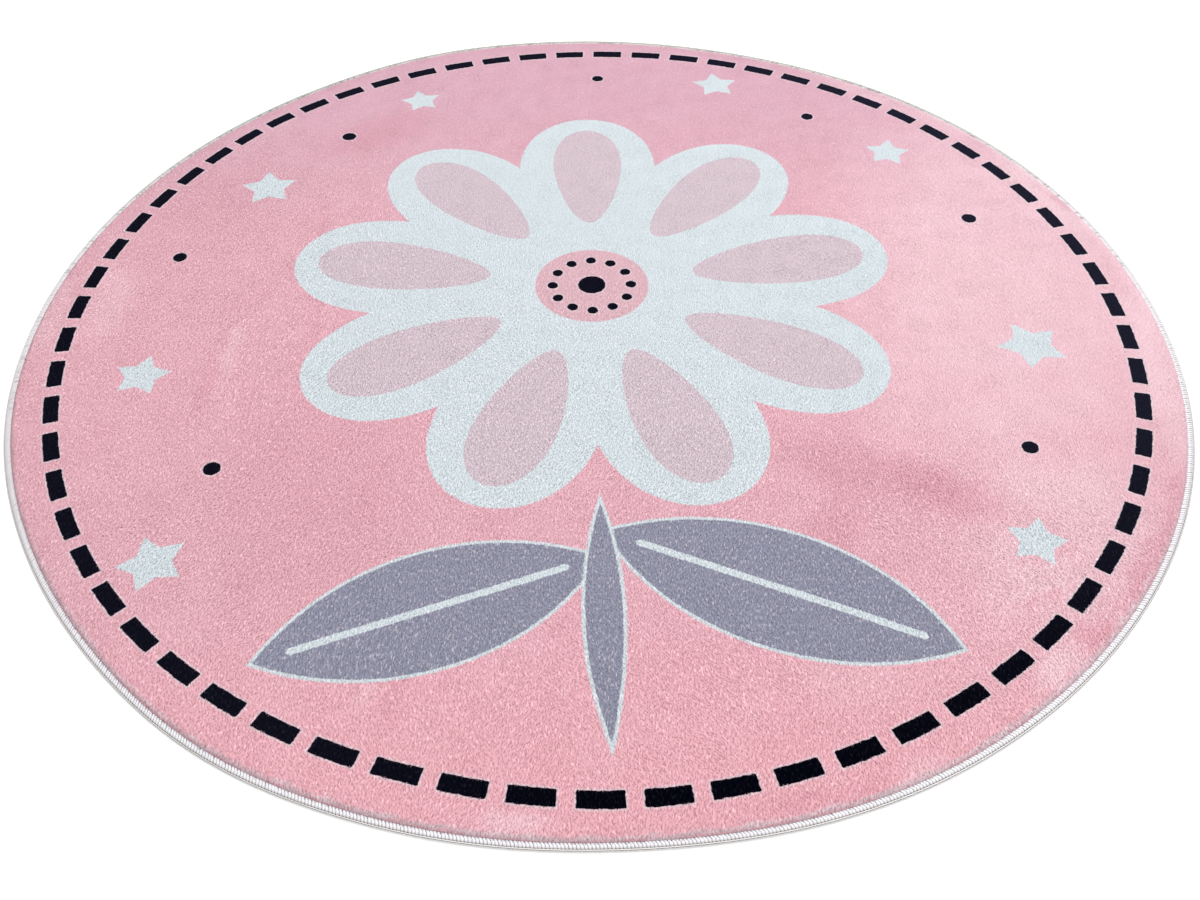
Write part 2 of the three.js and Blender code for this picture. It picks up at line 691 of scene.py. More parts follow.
@dataclass
class Nap:
    """The state of the pile: where the print lies on it, how it was brushed, and its painted light
    and shade.

    The drifts say how far the print lies off its true place near the rim, round it and outwards,
    every drift_step_deg from the right on.
    """

    form: RugForm
    drift_fade: Pair = (0.42, 0.54)
    drift_step_deg: float = 15
    drift_along_mm: tuple[float, ...] = (
        -1.0, 1.9, 1.1, -0.7, -0.4, 0.8, 3.2, 0.5, 2.1, 2.2, -1.2, -2.5,
        -3.4, -0.9, 1.9, -0.6, -0.6, 1.8, 2.6, -1.8, -3.6, -0.6, 1.8, -0.4,
    )
    drift_out_mm: tuple[float, ...] = (
        -1.0, -0.3, 0.9, 0.8, -0.5, -0.9, -2.9, -1.9, 0.3, 3.5, 0.4, -0.7,
        -0.6, -0.3, 1.6, 2.5, 0.7, -1.7, 0.7, -0.9, -1.6, -0.3, 0.6, -0.2,
    )
    # Brushed patches of the nap, large ovals of painted light on the right and painted shade on
    # the left, and narrow strips of painted shade and light along the creases
    marks: tuple[ToneMark, ...] = (
        ToneMark(445, 60, 330, 176, 78, 0.48),
        ToneMark(410, -330, 120, 90, 40, 0.34),
        ToneMark(262, -240, 105, 34, -24, -0.25),
        ToneMark(330, -262, 80, 26, -30, -0.25),
        ToneMark(200, -312, 60, 28, 60, -0.26),
        ToneMark(391, -334, 34, 5, 20, -0.34),
        ToneMark(388, -344, 30, 5, 20, 0.26),
        ToneMark(377, -376, 34, 5, 19, -0.30),
        ToneMark(380, -366, 30, 5, 19, 0.22),
        ToneMark(240, -430, 90, 50, 20, 0.12),
        ToneMark(524, -278, 68, 9, 62, -0.30),
        ToneMark(470, -352, 55, 12, 53, -0.46),
        ToneMark(370, -446, 36, 14, 40, 0.55),
        ToneMark(398, -424, 26, 13, 44, -0.50),
        ToneMark(559, 188, 22, 9, 109, -0.45),
        ToneMark(-72, -574, 26, 11, -6, 0.45),
        ToneMark(186, -553, 40, 10, 18, -0.26),
        ToneMark(133, -562, 28, 9, 12, -0.32),
        ToneMark(236, -541, 30, 12, 24, 0.30),
        ToneMark(-159, -422, 72, 9, 75, -0.28),
        ToneMark(-144, -372, 60, 8, 80, -0.22),
        ToneMark(-180, -420, 62, 10, 75, 0.22),
        ToneMark(-302, 76, 118, 5, 96, -0.34),
        ToneMark(-289, 80, 110, 7, 96, 0.14),
        ToneMark(-378, -50, 46, 9, 82, 0.28),
        ToneMark(-392, -102, 42, 8, 85, -0.28),
        ToneMark(-525, 37, 70, 26, 96, 0.26),
        ToneMark(-52, 339, 46, 15, 20, -0.22),
        ToneMark(-262, 360, 80, 36, 35, -0.26),
        ToneMark(-432, 230, 90, 60, 60, -0.16),
        ToneMark(-262, -240, 150, 95, 100, -0.16),
        ToneMark(574, -90, 165, 26, 81, 0.40),
        ToneMark(548, 199, 140, 20, 110, 0.25),
        ToneMark(390, 433, 160, 22, 138, 0.30),
        ToneMark(-583, 10, 55, 18, 90, 0.28),
    )
    wave: float = 0.004
    patches: float = 0.05
    fine_patches: float = 0.04
    fray: float = 0.0011
    bare_from: Pair = (0.5895, 0.5918)
    bare_to: Pair = (0.5924, 0.5938)
    bare_falls: float = 0.8
    bare_least: float = 0.10
    bare_front: float = 0.68
    shade_fray: float = 0.0008
    shade_from: Pair = (0.5905, 0.5928)
    shade_deepest_deg: float = 215
    shade_usual: float = 0.35
    shade_swing: float = 0.55
    shade_least: float = 0.2

    def print_place(self, x: np.ndarray, y: np.ndarray) -> np.ndarray:
        """The place on the flat print that lies at a place on the rug.

        Args:
            x: Places across the part's frame.
            y: Places along it.

        Returns:
            Rows of X, Y and 0 on the print.
        """
        x, y = x + self.form.middle[0], y + self.form.middle[1]
        far, angle = np.hypot(x, y), np.arctan2(y, x)
        at = np.arange(len(self.drift_along_mm)) * self.drift_step_deg
        turn = np.degrees(angle) % 360
        along = np.interp(turn, at, self.drift_along_mm, period=360)
        out = np.interp(turn, at, self.drift_out_mm, period=360)
        share = smooth_step(far, *self.drift_fade) * MM
        radius = far - out * share
        angle = angle - along * share / np.maximum(far, self.drift_fade[0])
        return np.stack([radius * np.cos(angle), radius * np.sin(angle), np.zeros_like(x)], 1)

    def brushed(self, x: np.ndarray, y: np.ndarray) -> np.ndarray:
        """How light the pile looks: its brushed patches, and painted light and shade over its
        sides and along its creases.

        Args:
            x: Places across the part's frame.
            y: Places along it.

        Returns:
            The tone, 0 for the usual one, below 0 deeper and above 0 lighter.
        """
        x, y = x + self.form.middle[0], y + self.form.middle[1]
        wave_x = x + self.wave * Lumps(0.030, 41).at(x, y)
        wave_y = y + self.wave * Lumps(0.026, 42).at(x, y)
        tone = self.patches * Lumps(0.085, 43).at(x, y)
        tone += self.fine_patches * Lumps(0.016, 44).at(x, y)
        for mark in self.marks:
            turn = math.radians(mark.turn_deg)
            dx, dy = wave_x - mark.x_mm * MM, wave_y - mark.y_mm * MM
            u = (dx * math.cos(turn) + dy * math.sin(turn)) / (mark.half_length_mm * MM)
            v = (dy * math.cos(turn) - dx * math.sin(turn)) / (mark.half_width_mm * MM)
            tone += mark.tone * np.exp(-((u * u + v * v) ** 2))
        return tone

    def pale_edge(self, x: np.ndarray, y: np.ndarray) -> np.ndarray:
        """How much undyed fibre shows along the pile's frayed edge, most of it at the front.

        Args:
            x: Places across, from the true circle's centre.
            y: Places along.

        Returns:
            The share that is bare.
        """
        far = np.hypot(x, y)
        front = smooth_step(-y / np.maximum(far, TINY), *FRONT_FADE)
        frayed = far + self.fray * (Lumps(0.020, 8).at(x, y) + Lumps(0.007, 10).at(x, y))
        past = 1 - self.bare_falls * smooth_step(frayed, *self.bare_to)
        band = smooth_step(frayed, *self.bare_from) * past
        return (self.bare_least + self.bare_front * front) * band

    def edge_shade(self, x: np.ndarray, y: np.ndarray) -> np.ndarray:
        """How deep the fibre lies in the shade beside the sewing, most of it at the front left.

        Args:
            x: Places across, from the true circle's centre.
            y: Places along.

        Returns:
            The shade, 0 to 1.
        """
        turn = np.arctan2(y, x) - math.radians(self.shade_deepest_deg)
        most = np.maximum(self.shade_usual + self.shade_swing * np.cos(turn), self.shade_least)
        frayed = np.hypot(x, y) + self.shade_fray * Lumps(0.018, 9).at(x, y)
        return most * smooth_step(frayed, *self.shade_from)

    def dress(self, mesh: bpy.types.Mesh, places: np.ndarray) -> None:
        """Writes the print's place and the pile's tone, brushed and with painted light and shade,
        on a mesh.

        Args:
            mesh: The mesh.
            places: The place of each of its points in the part's frame.
        """
        x, y = places[:, 0], places[:, 1]
        spot = mesh.attributes.new("print_place", "FLOAT_VECTOR", "POINT")
        spot.data.foreach_set("vector", self.print_place(x, y).astype(np.float32).ravel())
        add_number(mesh, "brushed", self.brushed(x, y))


class PrintGroups:
    """The shader node groups that more than one finish of the rug uses."""

    def __init__(self, layout: PrintLayout, colours: PrintColours) -> None:
        """Builds the groups.

        Args:
            layout: Where the motifs lie.
            colours: The inks.
        """
        self.layout = layout
        self.colours = colours
        self.star = self._star()
        self.picture = self._picture()

    def _star(self) -> bpy.types.NodeTree:
        """One five-pointed star with blunt points.

        Returns:
            The group, from an offset and a size to a mask.
        """
        tree = shader_group(
            "print_star",
            {"Offset": "NodeSocketVector", "Size": "NodeSocketFloat", "Turn": "NodeSocketFloat"},
            {"Mask": "NodeSocketFloat"},
        )
        start, end = group_ends(tree)
        paint = Painter(tree)
        x, y, _ = paint.parts(Wire(tree, start.outputs["Offset"]))
        turn = Wire(tree, start.outputs["Turn"])
        far = (x * x + y * y).root()
        angle = y.angle_from(x) - turn
        fifth = abs(angle.wrapped(-math.pi / 5, math.pi / 5))
        slant = self.layout.star_slant
        edge = far * (fifth + (math.pi / 2 - slant)).sine()
        size = Wire(tree, start.outputs["Size"])
        over = edge / size - math.cos(slant)
        tree.links.new(over.fade(*self.layout.star_ink).socket, end.inputs["Mask"])
        return tree

    def _stars(self, paint: Painter, x: Wire, y: Wire) -> Wire:
        """All the stars in one mask.

        Args:
            paint: The group's painter.
            x: Places across.
            y: Places along.

        Returns:
            The mask.
        """
        mask = None
        for spark in self.layout.stars:
            node = paint.tree.nodes.new("ShaderNodeGroup")
            node.node_tree = self.star
            plug(paint.tree, node.inputs["Offset"], paint.vector(x - spark.x, y - spark.y))
            node.inputs["Size"].default_value = spark.size
            node.inputs["Turn"].default_value = math.radians(spark.turn_deg + 90)
            one = Wire(paint.tree, node.outputs["Mask"])
            mask = one if mask is None else mask.at_least(one)
        return mask

    def _dashes(self, x: Wire, y: Wire) -> Wire:
        """How far a place lies outside the nearest dash.

        Args:
            x: Places across.
            y: Places along.

        Returns:
            The distance, below 0 inside a dash.
        """
        ring = self.layout.ring
        pitch = 2 * math.pi / ring.count
        far = (x * x + y * y).root()
        turn = (y.angle_from(x) - math.radians(ring.phase_deg)).wrapped(-pitch / 2, pitch / 2)
        across = (abs(turn * ring.radius) - (ring.length / 2 - ring.corner)).at_least(0)
        out = (abs(far - ring.radius) - (ring.width / 2 - ring.corner)).at_least(0)
        return (across * across + out * out).root() - ring.corner

    def _outside_egg(self, u: Wire, v: Wire, egg: Egg) -> Wire:
        """How far a place lies outside an egg, in shares of its size, below 0 inside.

        Args:
            u: Places along the petal.
            v: Places across it.
            egg: The egg.

        Returns:
            The distance.
        """
        along = (u - egg.middle) / egg.half_length
        wide = (along * self.layout.flower.widening + 1) * egg.half_width
        across = v / wide
        return (along * along + across * across).root() - 1

    def _leaf(self, x: Wire, y: Wire, leaf: Leaf) -> tuple[Wire, Wire]:
        """A leaf and its vein.

        Args:
            x: Places across.
            y: Places along.
            leaf: The leaf.

        Returns:
            How far a place lies outside the leaf, and how far from its vein.
        """
        turn = math.radians(leaf.turn_deg)
        dx, dy = x - leaf.x, y - leaf.y
        u = dx * math.cos(turn) + dy * math.sin(turn)
        v = abs(dy * math.cos(turn) - dx * math.sin(turn))
        arc = (leaf.half_length**2 + leaf.half_width**2) / (2 * leaf.half_width)
        low = v + (arc - leaf.half_width)
        past_vein = (abs(u) - self.layout.vein_share * leaf.half_length).at_least(0)
        return (u * u + low * low).root() - arc, v + past_vein

    def _ground(self, paint: Painter, y: Wire, tone: Wire) -> Wire:
        """The pink ground, cooler at the back, warmer in front, and toned as it was brushed and by
        painted light and shade.

        Args:
            paint: The group's painter.
            y: Places along.
            tone: How the nap was brushed, with painted light and shade.

        Returns:
            The ground's colour.
        """
        ink = self.colours
        colour = paint.mixed(y.fade(0.02, 0.50) * 0.55, ink.pink, ink.pink_cool)
        colour = paint.mixed(y.fade(-0.30, -0.56) * 0.7, colour, ink.pink_warm)
        colour = paint.mixed(tone.at_least(0).at_most(1), colour, ink.pink_light)
        return paint.mixed((tone * -1).at_least(0).at_most(1), colour, ink.pink_deep)

    def _in_flower(self, x: Wire, y: Wire, count: int, first: float) -> tuple[Wire, Wire, Wire]:
        """Folds the places round the flower into one of its equal segments.

        Args:
            x: Places across.
            y: Places along.
            count: How many segments the flower has.
            first: The direction of a segment's middle.

        Returns:
            The distance from the flower's middle, and its parts along and across the segment.
        """
        dx, dy = x - self.layout.flower.x, y - self.layout.flower.y
        reach = (dx * dx + dy * dy).root()
        step = 2 * math.pi / count
        turn = (dy.angle_from(dx) - first).wrapped(-step / 2, step / 2)
        return reach, reach * turn.cosine(), reach * turn.sine()

    def _with_flower(self, paint: Painter, x: Wire, y: Wire, colour: Wire) -> Wire:
        """Prints the leaves, and the flower over them.

        Args:
            paint: The group's painter.
            x: Places across.
            y: Places along.
            colour: The ground's colour.

        Returns:
            The colour with the flower.
        """
        layout, flower, ink = self.layout, self.layout.flower, self.colours
        for leaf in layout.leaves:
            outside, vein = self._leaf(x, y, leaf)
            colour = paint.mixed(outside.fade(*layout.leaf_outline), colour, ink.white)
            colour = paint.mixed(outside.fade(*layout.leaf_ink), colour, ink.grey)
            if leaf.half_width > layout.least_veined:
                colour = paint.mixed(vein.fade(*layout.vein_ink), colour, ink.white)
        reach, u, v = self._in_flower(x, y, flower.petals, math.pi / 2)
        for egg, egg_ink in ((flower.petal, ink.white), (flower.inner, ink.petal_pink)):
            outside = self._outside_egg(u, v, egg)
            colour = paint.mixed(outside.fade(*layout.petal_ink), colour, egg_ink)
        heart = reach / flower.heart_radius - 1
        return paint.mixed(heart.fade(*layout.heart_ink), colour, ink.blush)

    def _outside_dark(self, x: Wire, y: Wire) -> Wire:
        """How far a place lies outside the nearest seed, dot or dash, below 0 inside one.

        Args:
            x: Places across.
            y: Places along.

        Returns:
            The distance.
        """
        flower = self.layout.flower
        reach, u, v = self._in_flower(x, y, flower.seeds, 0.0)
        u = u - flower.seed_ring
        outside = (u * u + v * v).root() - flower.seed_radius
        outside = outside.at_most(reach - flower.middle_seed)
        for dot in self.layout.dots:
            dx, dy = x - dot.x, y - dot.y
            outside = outside.at_most((dx * dx + dy * dy).root() - dot.size)
        return outside.at_most(self._dashes(x, y))

    def _dark_ink(self, paint: Painter, x: Wire, y: Wire) -> Wire:
        """The dark ink with painted sheen, palest at the right and the back, and blackest in
        front.

        Args:
            paint: The group's painter.
            x: Places across.
            y: Places along.

        Returns:
            The ink's colour.
        """
        # Painted sheen: the dark ink is lighter at the right and the back, where the pile is seen
        # more at a slant, and blackest in front
        right = x.fade(0.05, 0.45) * y.fade(-0.45, -0.05) * 0.55
        front = y.fade(-0.30, -0.56) * x.fade(-0.30, 0.02) * 0.30
        pale = right + y.fade(-0.10, 0.50) * 0.27 + 0.30 - front
        return paint.mixed(pale, self.colours.navy, self.colours.navy_sheen)

    def _picture(self) -> bpy.types.NodeTree:
        """The whole print.

        Returns:
            The group, from a place on the print and the nap's tone to a colour.
        """
        tree = shader_group(
            "pile_print",
            {"Place": "NodeSocketVector", "Brushed": "NodeSocketFloat"},
            {"Colour": "NodeSocketColor", "Dark": "NodeSocketFloat"},
        )
        start, end = group_ends(tree)
        paint, layout, ink = Painter(tree), self.layout, self.colours
        x, y, _ = paint.parts(Wire(tree, start.outputs["Place"]))
        colour = self._ground(paint, y, Wire(tree, start.outputs["Brushed"]))
        colour = self._with_flower(paint, x, y, colour)
        colour = paint.mixed(self._stars(paint, x, y), colour, ink.white)
        outside = self._outside_dark(x, y)
        colour = paint.mixed(outside.fade(*layout.halo) * layout.halo_share, colour, ink.bare)
        covered = outside.fade(*layout.dark_ink)
        colour = paint.mixed(covered, colour, self._dark_ink(paint, x, y))
        tree.links.new(colour.socket, end.inputs["Colour"])
        tree.links.new(covered.socket, end.inputs["Dark"])
        return tree


@dataclass(frozen=True)
class PrintedPlush:
    """The printed pile: its inks on short brushed fibre."""

    groups: PrintGroups
    name: str = "printed_plush"
    tufts: bool = False
    dye_depth: float = 0.765
    roughness: float = 1.0
    streak_width: float = 0.00075
    streak_length: float = 0.0024
    grain_size: float = 0.0022
    ragged_size: float = 0.0030
    ragged_reach: float = 0.0020
    flat_share: float = 0.30
    flecks: float = 0.30
    flecks_on_dark: float = 0.01
    bare_on_dark: float = 0.03
    lit: float = 0.24
    shaded: float = 0.32
    own_normal: Pair = (0.07, 0.50)

    def material(self) -> bpy.types.Material:
        """Makes the material.

        Returns:
            The finish, for single tufts or for the closed ground under them.
        """
        made, paint = new_material(self.name)
        here, ink = paint.place(), self.groups.colours
        colour, dark = self._print(paint, here)
        tone = paint.attribute("tone") if self.tufts else paint.noise(here, self.grain_size)

        # The nap lies along Y: fine streaks, strongest where it is least brushed down
        x, y, _ = paint.parts(here)
        loose = (x * -LOOSE_SIDEWAYS - y).fade(*LOOSE_FADE).between(self.flat_share, 1)
        grain = loose.between(self.flat_share, 1)
        squeezed = (1, self.streak_width / self.streak_length, 1)
        streak = paint.noise(paint.vector_math("MULTIPLY", here, squeezed), self.streak_width, 1.0)
        light = (streak.fade(0.52, 0.76) + tone.fade(0.72, 1.0) * 0.2) * grain
        deep = (streak.fade(0.46, 0.24) * 0.08 + tone.fade(0.5, 0.0) * 0.03) * grain
        flecks = light * dark.between(self.flecks, self.flecks_on_dark)
        colour = paint.mixed(flecks, colour, ink.fleck)
        bare = paint.attribute("bare") * dark.between(1, self.bare_on_dark)
        colour = paint.mixed(bare, colour, ink.bare)
        shaded = paint.attribute("edge_shade") * self.shaded
        depth = (light * self.lit - deep - shaded + 1) * self.dye_depth
        normal = self._leaning(paint, loose) if self.tufts else paint.relief(streak, 0.4, 0.0004)
        paint.surface(paint.scaled(colour, depth), normal, self.roughness, 0.0)
        return made

    def _print(self, paint: Painter, here: Wire) -> tuple[Wire, Wire]:
        """The print, its edges a little ragged on the closed ground.

        Args:
            paint: The material's painter.
            here: The place on the piece.

        Returns:
            The print's colour, and how far its dark ink covers.
        """
        place = paint.attribute("print_place", "Vector")
        if not self.tufts:
            ragged = paint.noise(here, self.ragged_size, 1.0, output=1)
            ragged = paint.vector_math("SUBTRACT", ragged, (0.5, 0.5, 0.5))
            reach = (self.ragged_reach, self.ragged_reach, 0.0)
            place = paint.vector_math("ADD", place, paint.vector_math("MULTIPLY", ragged, reach))
        picture = paint.tree.nodes.new("ShaderNodeGroup")
        picture.node_tree = self.groups.picture
        plug(paint.tree, picture.inputs["Place"], place)
        plug(paint.tree, picture.inputs["Brushed"], paint.attribute("brushed"))
        colour, dark = picture.outputs["Colour"], picture.outputs["Dark"]
        return Wire(paint.tree, colour), Wire(paint.tree, dark)

    def _leaning(self, paint: Painter, loose: Wire) -> Wire:
        """A tuft's normal, nearly upright where the nap lies flat.

        Args:
            paint: The material's painter.
            loose: How loose the nap stands there.

        Returns:
            The normal.
        """
        own = loose.between(*self.own_normal)
        facing = paint.scaled(paint.node("ShaderNodeNewGeometry", "Normal"), own)
        upright = paint.vector(0.0, 0.0, own * -1 + 1)
        return paint.vector_math("NORMALIZE", paint.vector_math("ADD", facing, upright))


@dataclass(frozen=True)
class BackingWeave:
    """The woven backing underneath."""

    name: str = "backing_weave"
    thread: float = 0.0018
    fuzz_size: float = 0.004
    light: tuple = srgb(210, 206, 202)
    shade: tuple = srgb(188, 184, 180)

    def material(self) -> bpy.types.Material:
        """Makes the material.

        Returns:
            An off-white plain weave.
        """
        made, paint = new_material(self.name)
        place = paint.place()
        x, y, _ = paint.parts(place)
        weave = (x * (math.pi / self.thread)).sine() * (y * (math.pi / self.thread)).sine()
        fuzz = paint.noise(place, self.fuzz_size, 3.0)
        colour = paint.mixed(weave.fade(-0.6, 0.8) * 0.7 + fuzz * 0.3, self.shade, self.light)
        paint.surface(colour, paint.relief(weave + fuzz, 0.3, 0.0005), 0.9, 0.5)
        return made


@dataclass(frozen=True)
class OverlockYarn:
    """White textured yarn, its twist following each stitch, with painted shade in its crevices and
    low on the rim.
    """

    name: str = "overlock_yarn"
    light: tuple = srgb(243, 242, 245)
    shade: tuple = srgb(231, 229, 234)
    # Painted shade in the crevices between the wraps
    crevice_shade: tuple = srgb(206, 201, 210)
    # Painted shade on the left of the rim
    left_shade: tuple = srgb(203, 198, 203)
    # Painted shade on the rim's outer face, and a deeper one at the back
    rim: tuple = srgb(212, 208, 210)
    rim_back_shade: tuple = srgb(178, 176, 169)
    # Painted shadow under the rim, between the wraps and the chain, and on the chain's underside
    under: tuple = srgb(100, 92, 88)
    twist_along: int = 9
    twist_round: int = 3
    fluff_size: float = 0.0009
    patch_size: float = 0.012
    rim_share: float = 0.9
    # How much the painted shade colour darkens the front corners
    corner_shade: float = 0.07
    under_run: float = 0.43
    lowered: float = -2.0

    def material(self) -> bpy.types.Material:
        """Makes the material.

        Returns:
            The yarn, on the stitch map's run and girth.
        """
        made, paint = new_material(self.name)
        place = paint.place()
        run, girth, _ = paint.parts(paint.node("ShaderNodeUVMap", 0, {"uv_map": STITCH_MAP}))
        along, around = run * (2 * math.pi), girth * (2 * math.pi)
        filaments = (along * self.twist_along + around * self.twist_round).sine()
        fluff = paint.noise(place, self.fluff_size)
        patches = paint.noise(place, self.patch_size, 1.0)
        share = filaments * 0.16 + fluff * 0.6 + patches * 0.5
        colour = paint.mixed(share, self.shade, self.light)
        # Painted shade in the crevices at each yarn's sides, between the wraps
        colour = paint.mixed(abs(around.sine()).fade(0.42, 0.04) * 0.7, colour, self.crevice_shade)
        colour = self._painted_shade(paint, place, run, around.sine(), colour)
        paint.surface(colour, paint.relief(filaments * 0.5 + fluff, 0.6, 0.0002), 0.7, 0.2)
        return made

    def _painted_shade(self, paint: Painter, place: Wire, run: Wire, facing: Wire, colour: Wire) -> Wire:
        """Paints shade on the yarn by place, most of all low on the rim, where little light comes.

        Args:
            paint: The material's painter.
            place: The place on the piece.
            run: How far along its stitch a place lies.
            facing: The side of the yarn that it lies on.
            colour: The yarn before its painted shade.

        Returns:
            The yarn with its painted shade.
        """
        x, y, _ = paint.parts(place)
        # Painted shade on the left of the rim
        colour = paint.mixed(x.fade(0.20, -0.58) * y.fade(-0.55, -0.15) * 0.22, colour, self.left_shade)
        # Painted shade on the outer face of each wrap, deeper at the back
        rim = paint.mixed(y.fade(0.05, 0.45), self.rim, self.rim_back_shade)
        reach = y.fade(-0.50, -0.05) * 0.25 + y.fade(0.05, 0.45) * 0.12
        colour = paint.mixed((run - reach).fade(0.58, 0.45) * self.rim_share, colour, rim)
        # Painted shade at the front corners, in the painted shadow's colour
        corner = abs(x - 0.08).fade(0.15, 0.45) * y.fade(-0.02, -0.30)
        colour = paint.mixed(corner * self.corner_shade, colour, self.under)
        # Painted shadow on the yarn's lowest run and on the chain's underside, darkest in front
        low = (run * -1 + self.under_run).at_least(facing + self.lowered)
        painted_shadow = low.fade(-0.03, 0.05) * y.fade(-0.15, -0.40).between(0.72, 0.98)
        return paint.mixed(painted_shadow, colour, self.under)


def add_piece(name: str, mesh: bpy.types.Mesh) -> bpy.types.Object:
    """Makes a piece of the rug at the origin.

    Args:
        name: The piece's name.
        mesh: Its mesh, already in place.

    Returns:
        The object, riding on the rug's body.
    """
    piece = bpy.data.objects.new(name, mesh)
    bpy.context.scene.collection.objects.link(piece)
    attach(piece, BODY)
    LOG.info("%s: %d faces", name, len(mesh.polygons))
    return piece


def mesh_from_arrays(name: str, points: np.ndarray, faces: np.ndarray) -> bpy.types.Mesh:
    """Makes a smooth mesh from arrays.

    Args:
        name: The mesh's name.
        points: Places as rows.
        faces: Corner numbers as rows, all with as many corners.

    Returns:
        The mesh.
    """
    mesh = bpy.data.meshes.new(name)
    mesh.vertices.add(len(points))
    mesh.vertices.foreach_set("co", points.astype(np.float32).ravel())
    corners = faces.shape[1]
    mesh.loops.add(faces.size)
    mesh.loops.foreach_set("vertex_index", faces.astype(np.int32).ravel())
    mesh.polygons.add(len(faces))
    mesh.polygons.foreach_set("loop_start", np.arange(0, faces.size, corners, dtype=np.int32))
    mesh.update(calc_edges=True)
    mesh.shade_smooth()
    return mesh


def mesh_points(mesh: bpy.types.Mesh) -> np.ndarray:
    """The points of a mesh as rows.

    Args:
        mesh: The mesh.

    Returns:
        Places as rows.
    """
    points = np.zeros(len(mesh.vertices) * 3, np.float32)
    mesh.vertices.foreach_get("co", points)
    return points.reshape(-1, 3).astype(float)


def corner_numbers(mesh: bpy.types.Mesh) -> np.ndarray:
    """The point of each face corner of a mesh.

    Args:
        mesh: The mesh.

    Returns:
        Their numbers.
    """
    corners = np.zeros(len(mesh.loops), np.int32)
    mesh.loops.foreach_get("vertex_index", corners)
    return corners


def face_sizes(mesh: bpy.types.Mesh) -> np.ndarray:
    """How many corners each face of a mesh has.

    Args:
        mesh: The mesh.

    Returns:
        Their counts.
    """
    counts = np.zeros(len(mesh.polygons), np.int32)
    mesh.polygons.foreach_get("loop_total", counts)
    return counts


def add_map(mesh: bpy.types.Mesh, name: str, places: np.ndarray) -> None:
    """Adds a UV map with one place for each corner."""
    layer = mesh.uv_layers.new(name=name)
    layer.uv.foreach_set("vector", places.astype(np.float32).ravel())


def add_number(mesh: bpy.types.Mesh, name: str, values: np.ndarray) -> None:
    """Adds a number for each point."""
    numbers = mesh.attributes.new(name, "FLOAT", "POINT")
    numbers.data.foreach_set("value", values.astype(np.float32))


@dataclass
class RugCloth:
    """The cloth with its pile's ground, one closed sheet."""

    form: RugForm
    nap: Nap
    ring_step: float = 0.0065
    around: int = 360
    rounding_steps: int = 7
    lump_height: float = 0.00006
    merge_distance: float = 1e-6
    top_map: Pair = (0.84, 0.425)
    under_map: Pair = (0.22, 0.885)

    def section(self) -> list[Pair]:
        """Half-section from the underside's middle to the pile's middle.

        Returns:
            Radius and height of each point.
        """
        form = self.form
        step = form.radius - form.sewn_width - form.clearance
        edge = form.radius - form.yarn_cover - form.clearance
        low = form.yarn_cover + form.clearance
        high = form.sewn_height - low
        points = [(0.0, 0.0)]
        points += [(radius, 0.0) for radius in np.linspace(0.1, step, 6)]
        points += [(step, low), (edge, low), (edge, high), (step, high), (step, form.lip_height)]
        inner = form.pile_edge - form.pile_rounding
        for i in range(self.rounding_steps + 1):
            turn = i / self.rounding_steps * math.pi / 2
            rise = (form.ground - form.lip_height) * math.sin(turn)
            points.append((inner + form.pile_rounding * math.cos(turn), form.lip_height + rise))
        rings = int(inner / self.ring_step)
        points += [(ring * self.ring_step, form.ground) for ring in range(rings, -1, -1)]
        return points

    def build(self, plush: bpy.types.Material, backing: bpy.types.Material) -> bpy.types.Object:
        """Spins the section, bends it to the uneven form and dresses it.

        Args:
            plush: The finish of the pile.
            backing: The finish underneath.

        Returns:
            The piece.
        """
        mesh = self._spun()
        points = mesh_points(mesh)
        share = smooth_step(points[:, 2], self.form.lip_height, self.form.ground)
        rough = Lumps(0.030, 3).at(points[:, 0], points[:, 1])
        placed = self.form.bend(points)
        placed[:, 2] += share * rough * self.lump_height
        mesh.vertices.foreach_set("co", placed.astype(np.float32).ravel())
        mesh.update()
        mesh.shade_smooth()

        mesh.materials.append(plush)
        mesh.materials.append(backing)
        self._lay_out(mesh, placed)
        self.nap.dress(mesh, placed)
        add_number(mesh, "bare", self.nap.pale_edge(points[:, 0], points[:, 1]))
        add_number(mesh, "edge_shade", self.nap.edge_shade(points[:, 0], points[:, 1]))

        piece = add_piece("rug_cloth", mesh)
        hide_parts("pile_rug")
        return piece

    def _spun(self) -> bpy.types.Mesh:
        """The section spun round to a true circle.

        Returns:
            The closed cloth, still flat and round.
        """
        bm = bmesh.new()
        line = [bm.verts.new((radius, 0.0, height)) for radius, height in self.section()]
        edges = [bm.edges.new(pair) for pair in zip(line, line[1:])]
        bmesh.ops.spin(
            bm,
            geom=line + edges,
            cent=(0, 0, 0),
            axis=(0, 0, 1),
            angle=2 * math.pi,
            steps=self.around,
            use_merge=True,
        )
        bmesh.ops.remove_doubles(bm, verts=bm.verts, dist=self.merge_distance)
        bmesh.ops.recalc_face_normals(bm, faces=bm.faces)
        mesh = bpy.data.meshes.new("rug_cloth")
        bm.to_mesh(mesh)
        bm.free()
        return mesh

    def _lay_out(self, mesh: bpy.types.Mesh, placed: np.ndarray) -> None:
        """Gives each face its finish, and each side of the cloth its part of the bake map.

        Args:
            mesh: The cloth.
            placed: The place of each of its points.
        """
        middles = np.zeros(len(mesh.polygons) * 3, np.float32)
        mesh.polygons.foreach_get("center", middles)
        height = middles.reshape(-1, 3)[:, 2]
        sewn = height < self.form.lip_height
        mesh.polygons.foreach_set("material_index", sewn.astype(np.int32))
        under = np.repeat(height < self.form.yarn_cover, face_sizes(mesh))[:, None]
        places = placed[corner_numbers(mesh)][:, :2] / (2 * self.form.radius)
        sides = [places * size + middle for size, middle in (self.under_map, self.top_map)]
        add_map(mesh, BAKE_MAP, np.where(under, *sides))


